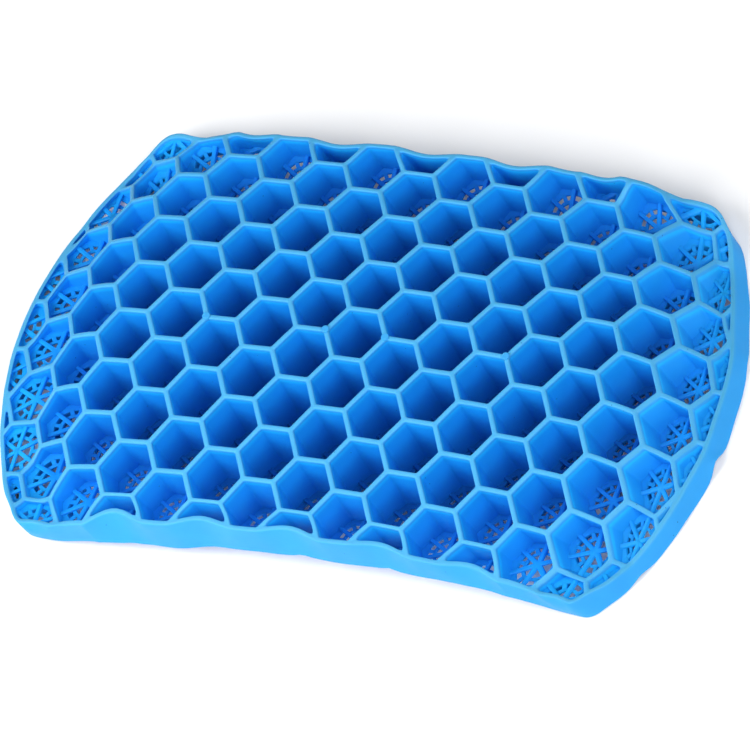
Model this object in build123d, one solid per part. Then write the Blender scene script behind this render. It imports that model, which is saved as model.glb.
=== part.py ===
from build123d import *
import math
import os

os.makedirs("parts", exist_ok=True)

# A seat cushion moulded in one shot from soft elastomer: open hexagonal cells that run right through,
# crossed near the bottom by two thin webs and closed round the outside by a plain wall.
# X is the long way, Y runs from the front edge to the back edge, and the cushion rests on z = 0.

# Cell lattice: hexagon columns that run front to back, with one cell centred on the origin
CELL_SIDE = 17.5
WALL = 2.6
LAST_COLUMN = 8
RIM_ROW = 8

# Plan outline: straight front and back edges, and ends that are shallow arcs
HALF_LENGTH = 12.0 * CELL_SIDE
CORNER_X = 9.3 * CELL_SIDE
CORNER_RADIUS = 1.1 * CELL_SIDE

# Levels, from the resting plane up
LOWER_CELLS_TOP = 6.6
RING_WEB_TOP = 8.4
STAR_WEB_TOP = 10.6
CENTRE_HEIGHT = 45.5

# Top surface: crowned from front to back, level along the middle, falling away towards both ends
EDGE_DROP = 17.0
SLOPE_START = 8.4 * CELL_SIDE
END_SLOPE = 0.45

# Webs across each cell
STAR_BAR = 2.3
RING_BAR = 2.0
RING_OPENING = 0.70 * CELL_SIDE

# Gate nubs, where the moulding was filled: lattice corners on the long centre line
NUB_X = (-5.0 * CELL_SIDE, -1.0 * CELL_SIDE, 1.0 * CELL_SIDE, 5.0 * CELL_SIDE)
NUB_RADIUS = 2.2
NUB_HEIGHT = 1.0

ROW = CELL_SIDE * math.sqrt(3) / 2
HALF_DEPTH = RIM_ROW * ROW + WALL / 2
HOLE_RADIUS = CELL_SIDE - WALL / math.sqrt(3)
JOIN_X = CORNER_X - CORNER_RADIUS

# Areas (mm2) and volumes (mm3) too small to mould, and how far the cutting shapes reach past the cushion
SMALLEST_HOLE = 6.0
SMALLEST_OVERLAP = 0.5
SMALLEST_PIECE = 2.0
OVERSHOOT = 1.1


def outline(inset):
    """Plan face of the cushion, moved inwards by inset."""
    reach = HALF_LENGTH - inset
    half_depth = HALF_DEPTH - inset
    corner = CORNER_X - inset
    ends = [
        Line((-corner, -half_depth), (corner, -half_depth)),
        ThreePointArc((corner, -half_depth), (reach, 0), (corner, half_depth)),
        Line((corner, half_depth), (-corner, half_depth)),
        ThreePointArc((-corner, half_depth), (-reach, 0), (-corner, -half_depth)),
    ]
    plan = make_face(ends)
    return fillet(plan.vertices(), CORNER_RADIUS - inset)


def cell_centres():
    """Centre of every cell that the outline reaches."""
    centres = []
    for column in range(-LAST_COLUMN, LAST_COLUMN + 1):
        for row in range(-RIM_ROW, RIM_ROW + 1):
            if (row - column) % 2 == 0:
                centres.append((1.5 * CELL_SIDE * column, row * ROW))
    return centres


def corner_points(radius, x, y):
    """Six corners of a hexagon with two corners on its X axis."""
    return [
        (x + radius * math.cos(math.radians(60 * n)), y + radius * math.sin(math.radians(60 * n)))
        for n in range(6)
    ]


def polygon_face(points):
    return make_face(Polyline(*points, close=True)).face()


def star_openings(x, y):
    """Six kites between three bars that cross the cell from wall to wall, square to its sides."""
    apothem = HOLE_RADIUS * math.cos(math.radians(30))
    inner = STAR_BAR / 2 / math.sin(math.radians(30))
    kites = []
    for n in range(6):
        points = []
        for distance, offset, turn in (
            (inner, 0, 0),
            (apothem, STAR_BAR / 2, -30),
            (HOLE_RADIUS, 0, 0),
            (apothem, -STAR_BAR / 2, 30),
        ):
            angle = math.radians(60 * n + turn)
            points.append((
                x + distance * math.cos(angle) - offset * math.sin(angle),
                y + distance * math.sin(angle) + offset * math.cos(angle),
            ))
        kites.append(polygon_face(points))
    return kites


def ring_openings(x, y):
    """Six rounded sectors between bars that point to the cell's corners, inside a round opening."""
    tip = RING_BAR / 2 / math.sin(math.radians(30))
    margin = math.asin(RING_BAR / 2 / RING_OPENING)
    sectors = []
    for n in range(6):
        middle = math.radians(60 * n + 30)
        start = middle - math.radians(30) + margin
        end = middle + math.radians(30) - margin
        point = [
            (x + radius * math.cos(angle), y + radius * math.sin(angle))
            for radius, angle in (
                (tip, middle),
                (RING_OPENING, start),
                (RING_OPENING, middle),
                (RING_OPENING, end),
            )
        ]
        sectors.append(make_face([
            Line(point[0], point[1]),
            ThreePointArc(point[1], point[2], point[3]),
            Line(point[3], point[0]),
        ]).face())
    return sectors


def cell_opening(x, y):
    return [polygon_face(corner_points(HOLE_RADIUS, x, y))]


def pierced_plan(openings):
    """Plan face inside the outer wall, with openings(x, y) cut in every cell and trimmed at the wall."""
    region = outline(WALL)
    whole = []
    trimmed = []
    for x, y in cell_centres():
        kept = polygon_face(corner_points(HOLE_RADIUS, x, y)) & region
        if kept is None or kept.area < SMALLEST_HOLE:
            continue
        cell = polygon_face(corner_points(CELL_SIDE, x, y))
        clear_of_wall = (cell & region).area > cell.area - SMALLEST_OVERLAP
        for opening in openings(x, y):
            if clear_of_wall:
                whole.append(opening)
                continue
            part = opening & region
            if part is not None:
                trimmed += [face for face in part.faces() if face.area > SMALLEST_HOLE]
    if trimmed:
        region = region - trimmed
    main = max(region.faces(), key=lambda face: face.area)
    holes = list(main.inner_wires()) + [face.outer_wire() for face in whole]
    return Face(main.outer_wire(), holes)


def plate(face, bottom, top):
    """The plan face as a slab between two levels."""
    return extrude(Pos(0, 0, bottom) * face, amount=top - bottom, dir=(0, 0, 1))


def top_envelope():
    """Solid under the top surface: one arched section, carried level and then down to each end."""
    overhang = OVERSHOOT * HALF_DEPTH
    low = -CENTRE_HEIGHT
    edge = CENTRE_HEIGHT - EDGE_DROP * (overhang / HALF_DEPTH) ** 2
    section = make_face([
        Line((0, -overhang, low), (0, -overhang, edge)),
        ThreePointArc((0, -overhang, edge), (0, 0, CENTRE_HEIGHT), (0, overhang, edge)),
        Line((0, overhang, edge), (0, overhang, low)),
        Line((0, overhang, low), (0, -overhang, low)),
    ])
    run = OVERSHOOT * HALF_LENGTH - SLOPE_START
    fall = Vector(run, 0, -run * END_SLOPE)
    middle = extrude(Pos(-SLOPE_START, 0, 0) * section, amount=2 * SLOPE_START, dir=(1, 0, 0))
    right = extrude(Pos(SLOPE_START, 0, 0) * section, amount=fall.length, dir=fall)
    return middle + right + mirror(right, about=Plane.YZ)


def write(name, shape):
    """Writes one node, leaving out crumbs too small to mould."""
    solids = [solid for solid in shape.solids() if solid.volume > SMALLEST_PIECE]
    export_step(solids[0] if len(solids) == 1 else Compound(children=solids), f"parts/{name}.step")
    print(name, len(solids), round(sum(solid.volume for solid in solids)))


envelope = top_envelope()
cell_plan = pierced_plan(cell_opening)
write("upper_cells", plate(cell_plan, STAR_WEB_TOP, CENTRE_HEIGHT + WALL) & envelope)
write("lower_cells", plate(cell_plan, 0, LOWER_CELLS_TOP))
write("ring_web", plate(pierced_plan(ring_openings), LOWER_CELLS_TOP, RING_WEB_TOP))
write("star_web", plate(pierced_plan(star_openings), RING_WEB_TOP, STAR_WEB_TOP))

band = extrude(outline(0) - outline(WALL), amount=CENTRE_HEIGHT + WALL) & envelope
tall = 2 * CENTRE_HEIGHT
back_zone = Pos(0, HALF_DEPTH, 0) * Box(2 * JOIN_X, HALF_DEPTH, tall)
right_zone = Pos(JOIN_X, 0, 0) * Box(
    HALF_LENGTH, 2 * OVERSHOOT * HALF_DEPTH, tall, align=(Align.MIN, Align.CENTER, Align.CENTER)
)
write("back_wall", band & back_zone)
write("front_wall", band & mirror(back_zone, about=Plane.XZ))
write("right_end_wall", band & right_zone)
write("left_end_wall", band & mirror(right_zone, about=Plane.YZ))

nub = Cylinder(NUB_RADIUS, NUB_HEIGHT, align=(Align.CENTER, Align.CENTER, Align.MIN))
write("gate_nubs", Compound(children=[Pos(x, 0, CENTRE_HEIGHT) * nub for x in NUB_X]))
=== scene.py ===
"""Looks of a honeycomb gel seat cushion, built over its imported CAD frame.

Plan positions (u, v) and heights are in cell sides, so one cell side is 1.0, until place() turns them to metres.
"""

import math

import bpy
from mathutils import Matrix, Vector, noise


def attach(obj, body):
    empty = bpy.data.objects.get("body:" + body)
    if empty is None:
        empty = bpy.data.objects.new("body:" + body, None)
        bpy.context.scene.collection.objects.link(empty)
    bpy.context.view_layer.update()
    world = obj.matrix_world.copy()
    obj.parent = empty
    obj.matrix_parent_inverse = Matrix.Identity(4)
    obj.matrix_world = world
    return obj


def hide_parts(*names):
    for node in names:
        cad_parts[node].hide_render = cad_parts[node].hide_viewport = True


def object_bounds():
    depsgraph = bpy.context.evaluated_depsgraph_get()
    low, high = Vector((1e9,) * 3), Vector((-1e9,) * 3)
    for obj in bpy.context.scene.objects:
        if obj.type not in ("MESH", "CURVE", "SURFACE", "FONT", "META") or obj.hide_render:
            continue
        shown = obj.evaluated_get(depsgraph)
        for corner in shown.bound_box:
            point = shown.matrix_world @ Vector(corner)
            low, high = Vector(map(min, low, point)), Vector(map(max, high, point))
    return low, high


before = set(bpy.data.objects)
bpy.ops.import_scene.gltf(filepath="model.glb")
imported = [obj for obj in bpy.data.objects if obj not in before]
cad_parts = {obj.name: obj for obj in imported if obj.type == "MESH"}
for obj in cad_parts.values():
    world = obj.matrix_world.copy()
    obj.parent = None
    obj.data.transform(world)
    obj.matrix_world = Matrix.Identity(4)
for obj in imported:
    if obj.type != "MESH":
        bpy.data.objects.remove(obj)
start_low, start_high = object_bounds()

# ---------------------------------------------------------------- sizes, in cell sides

SIDE = (start_high.x - start_low.x) / 24.0
ROW = math.sqrt(3) / 2
HALF_WALL = 0.080
WALL_FOOT = 0.088
FILLET = 0.085
SMALL_FILLET = 0.03
CREST_ROUND = 0.040
LAST_COLUMN = 8
RIM_ROW = 8

RIM_X = 12.0 - HALF_WALL
RIM_Y = RIM_ROW * ROW
CORNER_X = 9.55 - HALF_WALL
CORNER_RADIUS = 0.60
JOIN_X = 8.2

# a point nearer than this to the rim's centreline is on it
ON_RIM = 0.012

STAR_WIDTH = 0.125
STAR_DEEP = 0.095
STAR_EDGE = 0.018
SPOKE_WIDTH = 0.12
RING_RADIUS = 0.455
RING_WIDTH = 0.095
RING_STEPS = 30
OPENING = 0.655
PLATE_TOP = 0.105
PLATE_DEEP = 0.065
BURIED = 0.035

NUB_X = (-5.0, -1.0, 1.0, 5.0)

# how far the middle is carried above the floor by the drooping ends
LIFT = 0.25

# the curved surfaces are written in u and v over these lengths
SPAN_U = 9.0
SPAN_V = 7.0

# crests of the cell walls: height in the middle, falls towards the ends, the long edges and the corners, and the
# slope at each end, which starts on a line that curves inwards with v
TOP_MIDDLE = 2.60
TOP_FALL_ENDS = 0.435
TOP_FALL_EDGES = 0.714
TOP_EDGES_FLATTEN = 0.083
TOP_FALL_CORNERS = 0.534
SLOPE_START = 8.81
SLOPE_CURVE = 39.5
SLOPE = 0.472
STEEP_START = 11.1
STEEP_EXTRA = 0.30
CELL_NOISE = 0.018
RIM_NOISE = 0.05
TOP_OVER_WEB = 0.16

# the back rim stands a little higher towards the right, and most at one place
BACK_RIM_RISE = 0.12
BACK_HUMP = 0.50
BACK_HUMP_U = 7.4

# the webs' arch: height in the middle, rise from there to the long edges, and droop at the ends
WEB_MIDDLE = 0.42
WEB_RISE = 0.56
WEB_DROOP = 0.25
WEB_LOWEST = 0.2

# the lower edges: depth under the webs' arch, and how that grows in the middle and towards the ends
SOLE_DEPTH = 0.20
SOLE_MIDDLE = 0.36
SOLE_ENDS = 0.22
SOLE_DROOP = 0.27
SOLE_UNDER_WEB = 0.22

# trimming of the front's lower edge: (place, width, how far it cuts up), below zero where the wall reaches lower
FRONT_TRIM = (
    (-5.8, 0.22, 0.05),
    (0.0, 0.22, 0.09),
    (2.9, 0.22, 0.11),
    (-1.0, 3.5, 0.05),
    (-5.0, 2.0, -0.36),
    (-9.8, 0.9, 0.38),
)

# and of the right end's
RIGHT_TRIM = ((-5.2, 0.35, 0.14), (-1.2, 0.35, 0.28), (2.2, 0.35, 0.12))

# scallops of the long edges, which pull in between the cells: depth at the front and back, and one deeper place
SCALLOP_FRONT = 0.22
SCALLOP_BACK = 0.17
SCALLOP_EXTRA = 0.20
SCALLOP_EXTRA_U = -6.0

# how far the ends lean in at the top, and how far the back right corner leans out
END_LEAN = 0.35
CORNER_LEAN = 0.32

# ---------------------------------------------------------------- surfaces


def soft_ramp(value, width=0.35):
    """Zero well below 0 and equal to value well above it."""
    return width * math.log1p(math.exp(min(value / width, 40.0)))


def smooth(value):
    value = min(max(value, 0.0), 1.0)
    return value * value * (3 - 2 * value)


def swell(position, middle, width):
    """A bulge that is 1 in the middle and dies out over about twice the width."""
    return math.exp(-(((position - middle) / width) ** 2))


def unevenness(u, v, scale, seed):
    return noise.noise(Vector((u * scale, v * scale, seed)))


def trough(u, v, end_share):
    """1 along the middle line and nearly 0 on the long edges, less end_share of it at the ends."""
    return (1 - 0.95 * min(1.0, (v / SPAN_V) ** 2)) * (1 - end_share * min(1.0, (u / SPAN_U) ** 4))


def web_height(u, v):
    """Top of the star web: a shallow trough from end to end, drooping at the corners and twisted at the left."""
    droop = soft_ramp(abs(u) + min(v * v, 25.0) / 9 - 10.8)
    twist = smooth((-u - 8.5) / 2) * (0.1 - 0.07 * v)
    arch = LIFT + WEB_MIDDLE + WEB_RISE * (1 - trough(u, v, 0.15))
    return max(WEB_LOWEST, arch - WEB_DROOP * droop + twist)


def top_height(u, v):
    """Crest of the cell walls: crowned both ways, and sloping down to each end."""
    x, y = (u / SPAN_U) ** 2, (v / SPAN_V) ** 2
    reach = abs(u) + v * v / SLOPE_CURVE
    height = LIFT + TOP_MIDDLE - TOP_FALL_ENDS * x - TOP_FALL_EDGES * y
    height += TOP_EDGES_FLATTEN * y * y - TOP_FALL_CORNERS * x * y - SLOPE * soft_ramp(reach - SLOPE_START)
    height += CELL_NOISE * unevenness(u, v, 0.55, 3.1)
    rim = smooth((rim_nearness(u, v) - 0.86) / 0.14)
    height += rim * RIM_NOISE * unevenness(u, v, 0.7, 8.4)
    height -= STEEP_EXTRA * soft_ramp(reach - STEEP_START, 0.2)
    back_rise = BACK_RIM_RISE * smooth((u + 4) / 4) + BACK_HUMP * swell(u, BACK_HUMP_U, 1.0)
    height += smooth((v - 5.9) / 1.0) * back_rise
    return max(height, web_height(u, v) + TOP_OVER_WEB)


def base_height(u, v):
    """Lower edge: arched up in the middle and down at the ends, trimmed a little unevenly round the rim."""
    arch = LIFT + WEB_MIDDLE + WEB_RISE * (1 - trough(u, v, 0.6))
    arch -= SOLE_DROOP * soft_ramp(abs(u) + v * v / 18 - 9.2)
    under = SOLE_DEPTH + SOLE_MIDDLE * max(0.0, 1 - (v / RIM_Y) ** 2) * max(0.0, 1 - 0.7 * (u / 11.6) ** 2)
    under += SOLE_ENDS * smooth((abs(u) - 4) / 6)
    rim = smooth((rim_nearness(u, v) - 0.9) / 0.1)
    trim = 0.05 * unevenness(u, v, 0.9, 21.0)
    if v < -6.5:
        trim += sum(cut * swell(u, middle, width) for middle, width, cut in FRONT_TRIM)
    if u > 9.5:
        trim += sum(cut * swell(v, middle, width) for middle, width, cut in RIGHT_TRIM)
    sole = max(0.02, min(arch - under, web_height(u, v) - SOLE_UNDER_WEB))
    return max(0.005, sole + rim * trim)


# ---------------------------------------------------------------- plan outline

ARC_RADIUS = ((RIM_X - CORNER_X) ** 2 + RIM_Y**2) / (2 * (RIM_X - CORNER_X))
ARC_X = RIM_X - ARC_RADIUS
FILLET_Y = RIM_Y - CORNER_RADIUS
FILLET_X = ARC_X + math.sqrt((ARC_RADIUS - CORNER_RADIUS) ** 2 - FILLET_Y**2)
ARC_ANGLE = math.atan2(FILLET_Y, FILLET_X - ARC_X)


def rim_nearness(u, v):
    """0 at the centre and 1 on the rim."""
    along = abs(u) / (ARC_X + math.sqrt(max(ARC_RADIUS**2 - min(abs(v), RIM_Y) ** 2, 0.0)))
    return max(along, abs(v) / RIM_Y)


def outward(u, v):
    """Level direction square to the rim at a rim point."""
    if abs(u) <= FILLET_X:
        return 0.0, math.copysign(1.0, v)
    angle = math.atan2(abs(v), abs(u) - ARC_X)
    if angle > ARC_ANGLE:
        angle = math.atan2(abs(v) - FILLET_Y, abs(u) - FILLET_X)
    return math.copysign(math.cos(angle), u), math.copysign(math.sin(angle), v)


def rim_polygon():
    """The rim's centreline, anticlockwise."""
    quarter = []
    for n in range(37):
        angle = ARC_ANGLE * n / 36
        quarter.append((ARC_X + ARC_RADIUS * math.cos(angle), ARC_RADIUS * math.sin(angle)))
    for n in range(1, 9):
        angle = ARC_ANGLE + (math.pi / 2 - ARC_ANGLE) * n / 8
        quarter.append((FILLET_X + CORNER_RADIUS * math.cos(angle), FILLET_Y + CORNER_RADIUS * math.sin(angle)))
    left = [(-u, v) for u, v in reversed(quarter)]
    upper = quarter + left
    lower = [(u, -v) for u, v in reversed(upper[1:-1])]
    return upper + lower


def rim_distance(u, v):
    """How far inside the rim a point lies; about zero on it."""
    if abs(u) <= FILLET_X:
        return RIM_Y - abs(v)
    angle = math.atan2(abs(v), abs(u) - ARC_X)
    if angle > ARC_ANGLE:
        return CORNER_RADIUS - math.hypot(abs(u) - FILLET_X, abs(v) - FILLET_Y)
    return ARC_RADIUS - math.hypot(abs(u) - ARC_X, v)


# ---------------------------------------------------------------- from plan to metres


def scallop(u, v, level):
    """How far a long edge is pulled in at u, less near the foot."""
    offset = abs(u - 3 * round(u / 3))
    bow = math.cos(math.pi / 2 * min(offset / 1.25, 1.0)) ** 2
    depth = SCALLOP_FRONT + SCALLOP_EXTRA * swell(u, SCALLOP_EXTRA_U, 1.8) if v < 0 else SCALLOP_BACK
    return bow * depth * (0.15 + 0.85 * level)


def place(u, v, height):
    """A plan point at a height, in metres.

    The ends lean in, the long edges are scalloped and waisted, the plan is a little skew, and the rim shakes a bit.
    """
    base, top = base_height(u, v), top_height(u, v)
    level = min(max((height - base) / (top - base), 0.0), 1.1)
    across, along = (u / SPAN_U) ** 2, (v / SPAN_V) ** 2
    inner = 1 - smooth((rim_nearness(u, v) - 0.85) / 0.15)

    lean = END_LEAN * max(0.0, (abs(u) - 6.5) / 5.5) ** 2 * level
    end_shift = 0.19 + 0.09 * smooth((v - 1) / 3) if u > 0 else 0.143 + 0.007 * v - 0.0028 * v * v
    x = u + 0.04 - math.copysign(lean, u)
    x += across * (inner * (0.175 - 0.26 * level) - (1 - inner) * end_shift)
    x += along * (0.05 - 0.206 * level)
    x += CORNER_LEAN * level * smooth((u - 8.3) / 1.5) * smooth((v - 5) / 1.9)

    waist = (0.16 if v < 0 else 0.06) - 0.30 * min(abs(u) / SPAN_U, 1.1) ** 2
    y = v + 0.046 - 0.037 * across
    y += v / SPAN_V * (across * (0.136 - 0.45 * inner * (1 - level)) - 0.03)
    y -= math.copysign(smooth((abs(v) - 5.9) / 1.03) * (scallop(u, v, level) + waist), v)

    shake = 0.012 + 0.04 * smooth((rim_nearness(u, v) - 0.88) / 0.12)
    x += shake * unevenness(u, v, 0.8, 1.3 + 0.8 * level)
    y += shake * unevenness(u, v, 0.8, 11.7 + 0.8 * level)
    return Vector((x * SIDE, y * SIDE, height * SIDE))


# ---------------------------------------------------------------- convex polygons


def clip(points, a, b, inset=0.0):
    """The part of a convex polygon that lies left of a to b, moved left by inset."""
    length = math.hypot(b[0] - a[0], b[1] - a[1])
    nx, ny = (a[1] - b[1]) / length, (b[0] - a[0]) / length
    side = [(p[0] - a[0]) * nx + (p[1] - a[1]) * ny - inset for p in points]
    kept = []
    for i, p in enumerate(points):
        j = (i + 1) % len(points)
        if side[i] >= -1e-9:
            kept.append(p)
        if (side[i] > 1e-9 and side[j] < -1e-9) or (side[i] < -1e-9 and side[j] > 1e-9):
            t = side[i] / (side[i] - side[j])
            kept.append((p[0] + t * (points[j][0] - p[0]), p[1] + t * (points[j][1] - p[1])))
    return kept


def intersect(points, hull, inset=0.0):
    for i, a in enumerate(hull):
        if len(points) < 3:
            return []
        points = clip(points, a, hull[(i + 1) % len(hull)], inset)
    return without_repeats(points)


def without_repeats(points):
    kept = []
    for p in points:
        if not kept or math.dist(p, kept[-1]) > 1e-5:
            kept.append(p)
    while len(kept) > 1 and math.dist(kept[0], kept[-1]) < 1e-5:
        kept.pop()
    return kept if len(kept) > 2 else []


def area(points):
    return sum(p[0] * q[1] - q[0] * p[1] for p, q in zip(points, points[1:] + points[:1])) / 2


def nearest(points, p):
    """The point of a polygon's edge nearest to p."""
    best, gap = None, 1e9
    for a, b in zip(points, points[1:] + points[:1]):
        dx, dy = b[0] - a[0], b[1] - a[1]
        t = min(max(((p[0] - a[0]) * dx + (p[1] - a[1]) * dy) / (dx * dx + dy * dy), 0.0), 1.0)
        q = (a[0] + t * dx, a[1] + t * dy)
        distance = math.dist(p, q)
        if distance < gap:
            best, gap = q, distance
    return best


def rounded(core, radius, p):
    """The point of a polygon with rounded corners nearest to p, where core is that polygon less radius."""
    q = nearest(core, p)
    gap = math.dist(p, q)
    return (q[0] + radius * (p[0] - q[0]) / gap, q[1] + radius * (p[1] - q[1]) / gap)


def mix(p, q, t):
    return (p[0] + t * (q[0] - p[0]), p[1] + t * (q[1] - p[1]))


# ---------------------------------------------------------------- cells


def hexagon(radius, u, v, turn=0):
    return [
        (u + radius * math.cos(math.radians(60 * n + turn)), v + radius * math.sin(math.radians(60 * n + turn)))
        for n in range(6)
    ]


def edge_steps(length):
    """Fractions along a wall at which it is divided, closer together at its ends."""
    if length < 0.30:
        return [0.0]
    corner = [0.0, 0.045 / length, 0.10 / length]
    middle = max(2, round((length - 0.2) / 0.2))
    inner = [0.10 / length + (1 - 0.20 / length) * n / middle for n in range(1, middle)]
    return corner + inner + [1 - 0.10 / length, 1 - 0.045 / length]


def outline_samples(points):
    samples = []
    for a, b in zip(points, points[1:] + points[:1]):
        # from the lower end, so that both cells on a wall divide it alike
        forward = (round(a[0], 5), round(a[1], 5)) < (round(b[0], 5), round(b[1], 5))
        steps = edge_steps(math.dist(a, b))
        if forward:
            samples += [mix(a, b, t) for t in steps]
        else:
            samples += [a] + [mix(b, a, t) for t in reversed(steps[1:])]
    return samples


def all_cells():
    rim = rim_polygon()
    cells = []
    for column in range(-LAST_COLUMN, LAST_COLUMN + 1):
        for row in range(-RIM_ROW, RIM_ROW + 1):
            if (row - column) % 2:
                continue
            u, v = 1.5 * column, row * ROW
            whole = hexagon(1.0, u, v)
            cut = whole
            if min(rim_distance(*p) for p in whole) < 0.02:
                cut = intersect(whole, rim)
            if cut and area(cut) > 0.03:
                cells.append(((u, v), cut, area(cut) > 0.98 * area(whole)))
    return cells


# ---------------------------------------------------------------- meshes


class Shape:
    """Points with a painted light and shade value, and faces; a point given under a known key is used again."""

    def __init__(self):
        self.points, self.tones, self.faces, self.known = [], [], [], {}

    def point(self, u, v, height, tone, key=None):
        key = key and (round(u, 4), round(v, 4), key)
        if key in self.known:
            return self.known[key]
        self.points.append(place(u, v, height))
        self.tones.append(tone)
        if key:
            self.known[key] = len(self.points) - 1
        return len(self.points) - 1

    def strip(self, first, second, closed=True):
        """Quads between two rows of points."""
        count = len(first)
        for i in range(count if closed else count - 1):
            j = (i + 1) % count
            face = [first[i], first[j], second[j], second[i]]
            face = [n for k, n in enumerate(face) if n != face[k - 1]]
            if len(face) > 2:
                self.faces.append(face)

    def slab(self, upper, rim, lower):
        """A closed slab from its top outline, its edge outline and its bottom outline."""
        self.faces.append(list(upper))
        self.strip(rim, upper)
        self.strip(lower, rim)
        self.faces.append(list(reversed(lower)))

    def make(self, name, material, sharp=35):
        mesh = bpy.data.meshes.new(name)
        mesh.from_pydata(self.points, [], self.faces)
        mesh.validate()
        # painted light and shade, one value per point
        tone = mesh.attributes.new("tone", "FLOAT", "POINT")
        tone.data.foreach_set("value", self.tones)
        mesh.shade_smooth()
        mesh.set_sharp_from_angle(angle=math.radians(sharp))
        mesh.materials.append(material)
        thing = bpy.data.objects.new(name, mesh)
        bpy.context.scene.collection.objects.link(thing)
        return thing


# crest profile from the middle of a wall to its face: share of the half wall, and share of the rounding
CREST = [(0.0, 0.0), (0.35, 0.0), (0.68, 0.16), (0.90, 0.50), (1.0, 1.0)]
LEVELS = [0.03, 0.07, 0.13, 0.26, 0.46, 0.72]


def wall_painted_light(below):
    """Painted light and shade: a painted glow just under the crest, where light comes through the gel, then painted
    shade that grows slowly deeper down the wall.
    """
    return 0.12 + 0.34 * max(0.0, 1 - below / 1.5) + 0.46 * max(0.0, 1 - below / 0.25) ** 1.5


def wall_rows(p_out, top_face, foot_face):
    """(plan point, height, painted light and shade) down one line of a cell wall, from crest to foot, with the
    crest's lit colour at the top, a painted glow under it and painted shade down to the foot.
    """
    rows = []
    for share, drop in CREST:
        q = mix(p_out, top_face, share)
        rows.append((q, top_height(*q) - CREST_ROUND * drop, 1.0 - 0.15 * drop))
    high = top_height(*top_face) - CREST_ROUND
    low = base_height(*foot_face) + 0.5 * CREST_ROUND
    for level in LEVELS + [1.0]:
        q = mix(top_face, foot_face, level)
        below = level * (high - low)
        rows.append((q, high - below, wall_painted_light(below)))
    for share, drop in reversed(CREST[:-1]):
        q = mix(p_out, foot_face, share)
        rows.append((q, base_height(*q) + 0.5 * CREST_ROUND * drop, 0.0))
    return rows


def build_lattice(cells):
    shape = Shape()
    rim_points = {}
    for _, cut, _ in cells:
        samples = outline_samples(cut)
        radius = FILLET
        core = intersect(cut, cut, WALL_FOOT + radius)
        if not core or area(core) < 0.05:
            radius = SMALL_FILLET
            core = intersect(cut, cut, WALL_FOOT + radius)
        for p in samples:
            if rim_distance(*p) < ON_RIM:
                rim_points[(round(p[0], 4), round(p[1], 4))] = p
        solid = not core or area(core) < 0.01
        rows = []
        for p in samples:
            if solid:
                # painted light at the crest, painted shade at the foot
                rows.append([(p, top_height(*p), 1.0), (p, base_height(*p), 0.0)])
                continue
            foot = rounded(core, radius, p)
            face = rounded(core, radius + WALL_FOOT - HALF_WALL, p)
            rows.append(wall_rows(p, face, foot))
        last = len(rows[0]) - 1
        loops = []
        for n in range(last + 1):
            key = {0: "crest", last: "sole"}.get(n)
            loops.append([shape.point(*row[n][0], row[n][1], row[n][2], key) for row in rows])
        if solid:
            shape.faces.append(loops[0])
            shape.faces.append(loops[1][::-1])
        else:
            for upper, lower in zip(loops, loops[1:]):
                shape.strip(upper, lower)
        # the hidden face where the lattice meets the outer wall
        for i, p in enumerate(samples):
            j = (i + 1) % len(samples)
            q = samples[j]
            middle = mix(p, q, 0.5)
            if max(rim_distance(*p), rim_distance(*q), rim_distance(*middle)) < ON_RIM:
                shape.faces.append([loops[0][j], loops[0][i], loops[-1][i], loops[-1][j]])
    return shape, list(rim_points.values())


def rim_order(p):
    return math.atan2(p[1] / RIM_Y, p[0] / RIM_X)


def build_wall(chain):
    """Outer half of the rim wall along a run of rim points, closed on every side."""
    shape = Shape()
    rows = []
    for u, v in chain:
        nx, ny = outward(u, v)
        top_face = (u + nx * HALF_WALL, v + ny * HALF_WALL)
        foot_face = (u + nx * (HALF_WALL + 0.01), v + ny * (HALF_WALL + 0.01))
        rows.append(wall_rows((u, v), top_face, foot_face))
    count = len(rows[0])
    loops = []
    for n in range(count):
        loops.append([shape.point(*row[n][0], row[n][1], max(row[n][2], OUTER_PAINTED_LIGHT)) for row in rows])
    for upper, lower in zip(loops, loops[1:]):
        shape.strip(lower, upper, closed=False)
    shape.strip(loops[0], loops[-1], closed=False)
    shape.faces.append([loop[0] for loop in loops])
    shape.faces.append([loop[-1] for loop in reversed(loops)])
    return shape


# ---------------------------------------------------------------- webs


def web_painted_light(u, v):
    """Painted light: lighter where the cell above it is shallow and more light reaches the web, painted shade where
    it is deep.
    """
    return 0.55 * max(0.0, 1 - (top_height(u, v) - web_height(u, v)) / 1.6)


def web_row(shape, points, below):
    """Points at a depth below the top of the web."""
    return [shape.point(*p, web_height(*p) - below, web_painted_light(*p)) for p in points]


def add_slab(shape, upper, edge, drop, bevel, deep):
    shape.slab(
        web_row(shape, upper, drop),
        web_row(shape, edge, drop + bevel),
        web_row(shape, edge, drop + deep),
    )


def add_washer(shape, outer, inner, top, bottom):
    """A flat ring between two outlines with as many points each."""
    levels = ((outer, top), (inner, top), (inner, bottom), (outer, bottom))
    rows = [web_row(shape, points, below) for points, below in levels]
    for a, b in zip(rows, rows[1:] + rows[:1]):
        shape.strip(a, b)


def star_outline(centre, reach, width):
    """Six arms from the middle of a cell to the middles of its sides."""
    points = []
    crotch = width / 2 / math.sin(math.radians(30)) + 0.02
    for n in range(6):
        angle = math.radians(60 * n + 30)
        for side in (-1, 1):
            points.append((
                centre[0] + reach * math.cos(angle) - side * width / 2 * math.sin(angle),
                centre[1] + reach * math.sin(angle) + side * width / 2 * math.cos(angle),
            ))
        points.append((
            centre[0] + crotch * math.cos(angle + math.radians(30)),
            centre[1] + crotch * math.sin(angle + math.radians(30)),
        ))
    return points


def arm_outline(centre, angle, start, reach, width):
    c, s = math.cos(angle), math.sin(angle)
    return [
        (centre[0] + d * c - w * s, centre[1] + d * s + w * c)
        for d, w in ((start, -width / 2), (reach, -width / 2), (reach, width / 2), (start, width / 2))
    ]


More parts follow.
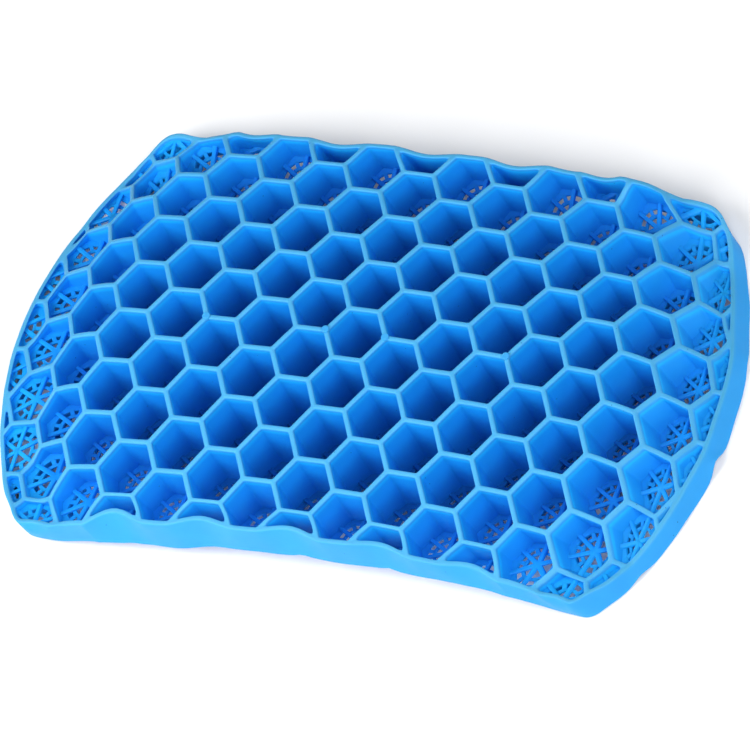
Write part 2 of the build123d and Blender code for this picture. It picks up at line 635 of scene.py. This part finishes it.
def build_star_web(cells):
    shape = Shape()
    for centre, cut, whole in cells:
        if whole:
            reach = ROW - BURIED
            add_slab(
                shape,
                star_outline(centre, reach, STAR_WIDTH - 2 * STAR_EDGE),
                star_outline(centre, reach, STAR_WIDTH),
                0.0,
                STAR_EDGE,
                STAR_DEEP,
            )
            continue
        for n in range(6):
            angle = math.radians(60 * n + 30)
            edge, upper = [
                intersect(arm_outline(centre, angle, -0.05, ROW - BURIED, width), cut, BURIED)
                for width in (STAR_WIDTH, STAR_WIDTH - 2 * STAR_EDGE)
            ]
            if not edge or area(edge) < 0.008:
                continue
            if len(upper) != len(edge):
                upper = edge
            add_slab(shape, upper, edge, 0.0, STAR_EDGE, STAR_DEEP)
    return shape


def circle(centre, radius, count=48):
    angles = [2 * math.pi * n / count for n in range(count)]
    return [(centre[0] + radius * math.cos(angle), centre[1] + radius * math.sin(angle)) for angle in angles]


def build_ring_web(cells):
    shape = Shape()
    for centre, cut, whole in cells:
        core = intersect(cut, cut, BURIED)
        opening = intersect(circle(centre, OPENING), cut, HALF_WALL + 0.10)
        if not core:
            continue
        if not opening or area(opening) < 0.02:
            add_slab(shape, core, core, PLATE_TOP, 0.001, PLATE_DEEP)
            continue
        samples = outline_samples(core)
        bore = [nearest(opening, p) for p in samples]
        add_washer(shape, samples, bore, PLATE_TOP, PLATE_TOP + PLATE_DEEP)
        for n in range(6):
            angle = math.radians(60 * n)
            arm = intersect(arm_outline(centre, angle, RING_RADIUS, OPENING + 0.05, SPOKE_WIDTH), cut, BURIED)
            if arm and area(arm) > 0.006:
                add_slab(shape, arm, arm, PLATE_TOP + 0.004, 0.001, PLATE_DEEP - 0.008)
        inner = circle(centre, RING_RADIUS - RING_WIDTH / 2, RING_STEPS)
        outer = circle(centre, RING_RADIUS + RING_WIDTH / 2, RING_STEPS)
        if whole:
            add_washer(shape, outer, inner, PLATE_TOP + 0.002, PLATE_TOP + PLATE_DEEP - 0.002)
            continue
        for n in range(RING_STEPS):
            m = (n + 1) % RING_STEPS
            piece = intersect([inner[n], outer[n], outer[m], inner[m]], cut, BURIED)
            if piece and area(piece) > 0.0008:
                add_slab(shape, piece, piece, PLATE_TOP + 0.002, 0.001, PLATE_DEEP - 0.004)
    return shape


def build_nubs():
    """Round stubs on the crest, domed, with their feet sunk in the wall."""
    shape = Shape()
    profile = [(0.126, -0.05), (0.126, 0.030), (0.112, 0.050), (0.080, 0.058), (0.040, 0.052)]
    for x in NUB_X:
        loops = []
        for radius, height in profile:
            ring = circle((x, 0.0), radius, 24)
            # the nubs are painted as lit, like the crest
            loops.append([shape.point(*p, top_height(x, 0.0) + height, 0.9) for p in ring])
        for a, b in zip(loops, loops[1:]):
            shape.strip(a, b)
        shape.faces.append(loops[-1])
        shape.faces.append(loops[0][::-1])
    return shape


# ---------------------------------------------------------------- material


# painted light and shade on the one blue gel, by value: painted shade deep inside a cell, its walls, a painted glow
# under a crest, the outer wall and the crest itself as lit
PAINTED_LIGHT_RAMP = (
    (0.0, (0.005, 0.120, 0.420, 1)),
    (0.12, (0.008, 0.205, 0.680, 1)),
    (0.38, (0.007, 0.280, 0.800, 1)),
    (0.62, (0.010, 0.400, 0.880, 1)),
    (0.80, (0.026, 0.305, 0.740, 1)),
    (1.0, (0.064, 0.355, 0.650, 1)),
)
# the outer wall is painted as lit, never with the painted shade of a cell's depth
OUTER_PAINTED_LIGHT = 0.80


def gel_material():
    material = bpy.data.materials.new("elastomer_gel")
    material.use_nodes = True
    nodes, links = material.node_tree.nodes, material.node_tree.links
    nodes.clear()

    def add(kind, **values):
        node = nodes.new(kind)
        for name, value in values.items():
            setattr(node, name, value)
        return node

    output = add("ShaderNodeOutputMaterial")
    gel = add("ShaderNodeBsdfPrincipled")
    links.new(gel.outputs["BSDF"], output.inputs["Surface"])
    where = add("ShaderNodeTexCoord").outputs["Object"]
    tone = add("ShaderNodeAttribute", attribute_name="tone").outputs["Fac"]

    def cloudy(scale, detail):
        noise_texture = add("ShaderNodeTexNoise")
        noise_texture.inputs["Scale"].default_value = scale
        noise_texture.inputs["Detail"].default_value = detail
        links.new(where, noise_texture.inputs["Vector"])
        return noise_texture.outputs["Fac"]

    def between(value, low, high):
        span = add("ShaderNodeMapRange")
        span.inputs["To Min"].default_value = low
        span.inputs["To Max"].default_value = high
        links.new(value, span.inputs["Value"])
        return span.outputs["Result"]

    # painted light and shade: the ramp turns each point's value into a darker blue deep in the cells and a lighter
    # one under the crests
    ramp = add("ShaderNodeValToRGB")
    ramp.color_ramp.interpolation = "EASE"
    stops = ramp.color_ramp.elements
    stops[0].position, stops[0].color = PAINTED_LIGHT_RAMP[0]
    stops[1].position, stops[1].color = PAINTED_LIGHT_RAMP[-1]
    for position, colour in PAINTED_LIGHT_RAMP[1:-1]:
        stops.new(position).color = colour
    links.new(tone, ramp.inputs["Fac"])

    # slow changes of colour, about a cell wide
    shade = between(cloudy(55.0, 3.0), 0.93, 1.07)
    mottled = add("ShaderNodeVectorMath", operation="SCALE")
    links.new(ramp.outputs["Color"], mottled.inputs[0])
    links.new(shade, mottled.inputs["Scale"])

    # a few dark specks, one in every fifth small cell of the pattern
    dust = add("ShaderNodeTexVoronoi")
    dust.inputs["Scale"].default_value = 170.0
    links.new(where, dust.inputs["Vector"])
    dot = add("ShaderNodeMath", operation="LESS_THAN")
    dot.inputs[1].default_value = 0.055
    links.new(dust.outputs["Distance"], dot.inputs[0])
    rare = add("ShaderNodeSeparateColor")
    links.new(dust.outputs["Color"], rare.inputs["Color"])
    few = add("ShaderNodeMath", operation="GREATER_THAN")
    few.inputs[1].default_value = 0.80
    links.new(rare.outputs["Red"], few.inputs[0])
    speck = add("ShaderNodeMath", operation="MULTIPLY")
    links.new(dot.outputs["Value"], speck.inputs[0])
    links.new(few.outputs["Value"], speck.inputs[1])
    soft_speck = add("ShaderNodeMath", operation="MULTIPLY")
    soft_speck.inputs[1].default_value = 0.75
    links.new(speck.outputs["Value"], soft_speck.inputs[0])
    dusty = add("ShaderNodeMix", data_type="RGBA")
    links.new(soft_speck.outputs["Value"], dusty.inputs["Factor"])
    links.new(mottled.outputs["Vector"], dusty.inputs["A"])
    dusty.inputs["B"].default_value = (0.004, 0.045, 0.16, 1)
    links.new(dusty.outputs["Result"], gel.inputs["Base Color"])

    # uneven satin finish and the mould's fine grain
    links.new(between(cloudy(140.0, 2.0), 0.42, 0.62), gel.inputs["Roughness"])
    bump = add("ShaderNodeBump")
    bump.inputs["Strength"].default_value = 0.12
    bump.inputs["Distance"].default_value = 0.0006
    links.new(cloudy(420.0, 4.0), bump.inputs["Height"])
    links.new(bump.outputs["Normal"], gel.inputs["Normal"])

    gel.inputs["IOR"].default_value = 1.45
    gel.inputs["Specular IOR Level"].default_value = 0.2
    gel.inputs["Subsurface Weight"].default_value = 0.25
    gel.inputs["Subsurface Radius"].default_value = (0.15, 0.6, 1.0)
    gel.inputs["Subsurface Scale"].default_value = 0.003
    return material


# ---------------------------------------------------------------- the cushion

gel = gel_material()
cells = all_cells()
lattice, rim_points = build_lattice(cells)
made = {"cell_lattice": (lattice, ("upper_cells", "lower_cells"))}
ring = sorted(rim_points, key=rim_order)
start = next(i for i, p in enumerate(ring) if p[1] > 0 and abs(p[0]) < JOIN_X)
runs = {"back_wall": [], "left_end_wall": [], "front_wall": [], "right_end_wall": []}
ring = ring[start:] + ring[:start]
for p in ring:
    if p[0] >= JOIN_X:
        name = "right_end_wall"
    elif p[0] <= -JOIN_X:
        name = "left_end_wall"
    else:
        name = "back_wall" if p[1] > 0 else "front_wall"
    runs[name].append(p)
names = list(runs)
for i, name in enumerate(names):
    runs[name].append(runs[names[(i + 1) % 4]][0])
for name, chain in runs.items():
    made[name] = (build_wall(chain), (name,))
made["star_web"] = (build_star_web(cells), ("star_web",))
made["ring_web"] = (build_ring_web(cells), ("ring_web",))
made["gate_nubs"] = (build_nubs(), ("gate_nubs",))

for name, (shape, nodes) in made.items():
    thing = shape.make(name + "_moulded", gel)
    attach(thing, "root")
    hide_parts(*nodes)

# ---------------------------------------------------------------- stage, light and camera

FLOOR_REACH = 40.0
PAPER = (0.97, 0.97, 0.97, 1)

floor_mesh = bpy.data.meshes.new("floor")
floor_corners = [(x * FLOOR_REACH, y * FLOOR_REACH, 0.0) for x, y in ((-1, -1), (1, -1), (1, 1), (-1, 1))]
floor_mesh.from_pydata(floor_corners, [], [(0, 1, 2, 3)])
floor = bpy.data.objects.new("floor", floor_mesh)
bpy.context.scene.collection.objects.link(floor)
paper = bpy.data.materials.new("paper")
paper.use_nodes = True
paper_shader = paper.node_tree.nodes["Principled BSDF"]
paper_shader.inputs["Base Color"].default_value = PAPER
paper_shader.inputs["Roughness"].default_value = 0.9
floor_mesh.materials.append(paper)

# sky light from the horizon up, which reaches the outer walls more than the bottoms of the cells
SKY_LOW, SKY_HIGH = 11.5, 0.4

world = bpy.data.worlds.new("studio")
bpy.context.scene.world = world
world.use_nodes = True
sky = world.node_tree
direction = sky.nodes.new("ShaderNodeTexCoord")
height = sky.nodes.new("ShaderNodeSeparateXYZ")
fade = sky.nodes.new("ShaderNodeMapRange")
fade.inputs["To Min"].default_value = SKY_LOW
fade.inputs["To Max"].default_value = SKY_HIGH
sky.links.new(direction.outputs["Generated"], height.inputs["Vector"])
sky.links.new(height.outputs["Z"], fade.inputs["Value"])
sky.links.new(fade.outputs["Result"], sky.nodes["Background"].inputs["Strength"])


def direction_to(azimuth, elevation):
    """Unit vector towards a place seen at an azimuth from the front and an elevation, both in degrees."""
    a, e = math.radians(azimuth), math.radians(elevation)
    return Vector((math.sin(a) * math.cos(e), -math.cos(a) * math.cos(e), math.sin(e)))


def softbox(name, azimuth, elevation, distance, size, power):
    """A square soft light that faces the origin, in metres and watts."""
    data = bpy.data.lights.new(name, "AREA")
    data.size = size
    data.energy = power
    light = bpy.data.objects.new(name, data)
    bpy.context.scene.collection.objects.link(light)
    away = direction_to(azimuth, elevation)
    light.location = away * distance
    light.rotation_mode = "QUATERNION"
    light.rotation_quaternion = away.to_track_quat("Z", "Y")


softbox("key", -40, 44, 1.2, 1.0, 17)
softbox("fill", 66, 46, 1.7, 1.5, 26)

# a long lens from the front right, rolled so that the long side runs down to the right
AZIMUTH, ELEVATION, ROLL = 43.66, 53.45, -29.8
WIDTH_IN_SIDES = 22.6586
LENS, SENSOR = 960.0, 36.0
AIM = Vector((0.24, -0.31, LIFT + 0.81)) * SIDE
back = direction_to(AZIMUTH, ELEVATION)
camera_data = bpy.data.cameras.new("camera")
camera_data.sensor_width = SENSOR
camera_data.lens = LENS
distance = WIDTH_IN_SIDES * SIDE * LENS / SENSOR
camera_data.clip_start, camera_data.clip_end = distance * 0.5, distance * 3
camera = bpy.data.objects.new("camera", camera_data)
bpy.context.scene.collection.objects.link(camera)
camera.matrix_world = Matrix.Translation(AIM + back * distance) @ (
    (-back).to_track_quat("-Z", "Y").to_matrix().to_4x4() @ Matrix.Rotation(math.radians(ROLL), 4, "Z")
)
bpy.context.scene.camera = camera
bpy.context.scene.view_settings.view_transform = "Standard"
bpy.context.scene.view_settings.look = "None"
